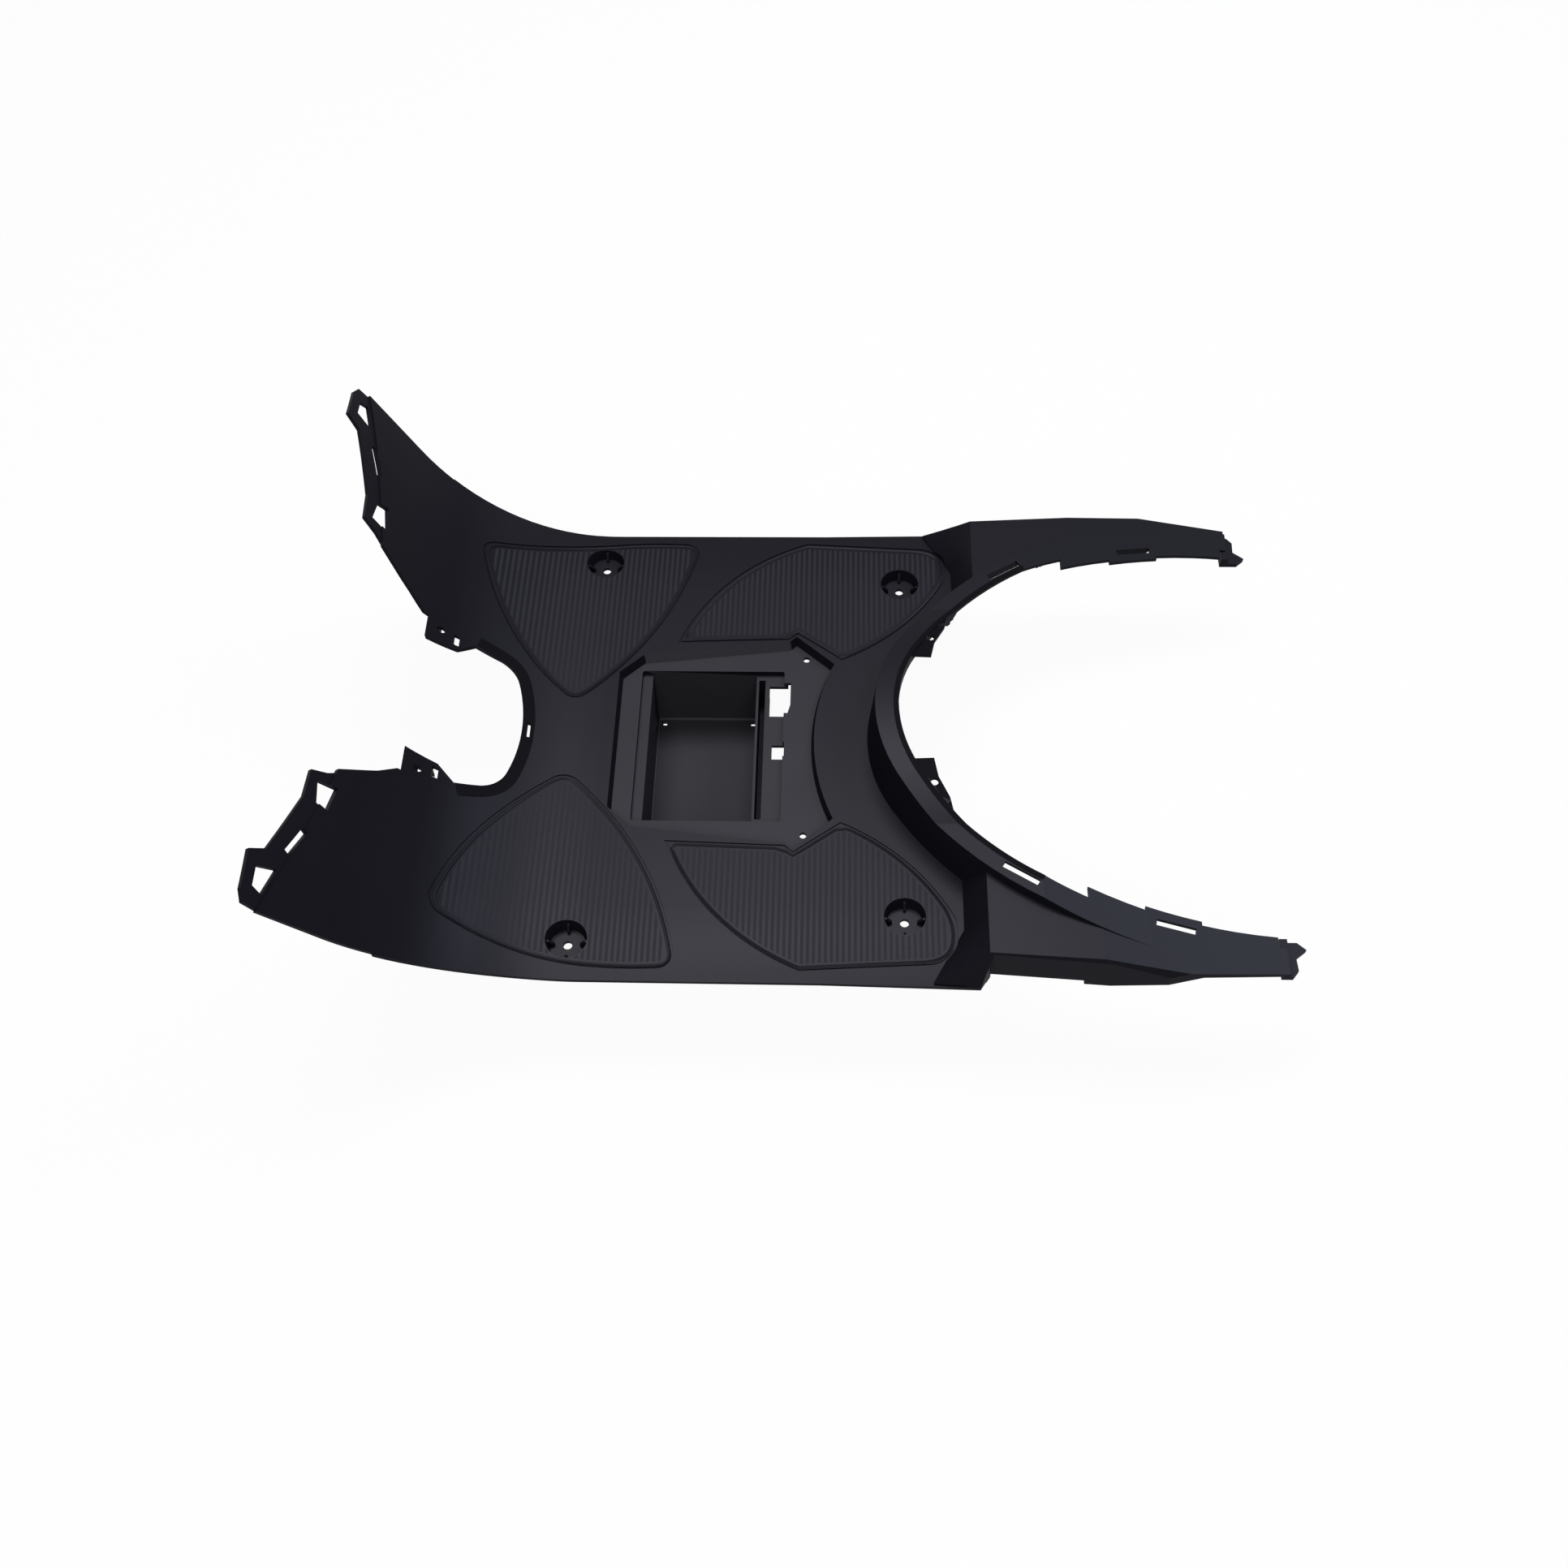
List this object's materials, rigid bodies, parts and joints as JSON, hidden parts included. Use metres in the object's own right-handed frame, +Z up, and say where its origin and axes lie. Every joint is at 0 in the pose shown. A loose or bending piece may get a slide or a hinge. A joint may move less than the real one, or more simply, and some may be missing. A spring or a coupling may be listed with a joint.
{
  "type": "scooter floorboard",
  "caption": "Moulded scooter floorboard with kicked-up foot wings, recessed bolt seats, a central battery well with cable holes and rear arms with hook slots.",
  "frame": {"origin": "midway between the two front bolt holes, on the undersides of their seats", "axes": "+X to the rear of the scooter, +Y to its right-hand side, +Z up"},
  "size_m": [0.7037, 0.4606, 0.2238],
  "materials": {
    "body_plastic": "fine moulded grain, satin"
  },
  "bodies": {
    "root": {"floorboard": "body_plastic"}
  },
  "joints": []
}
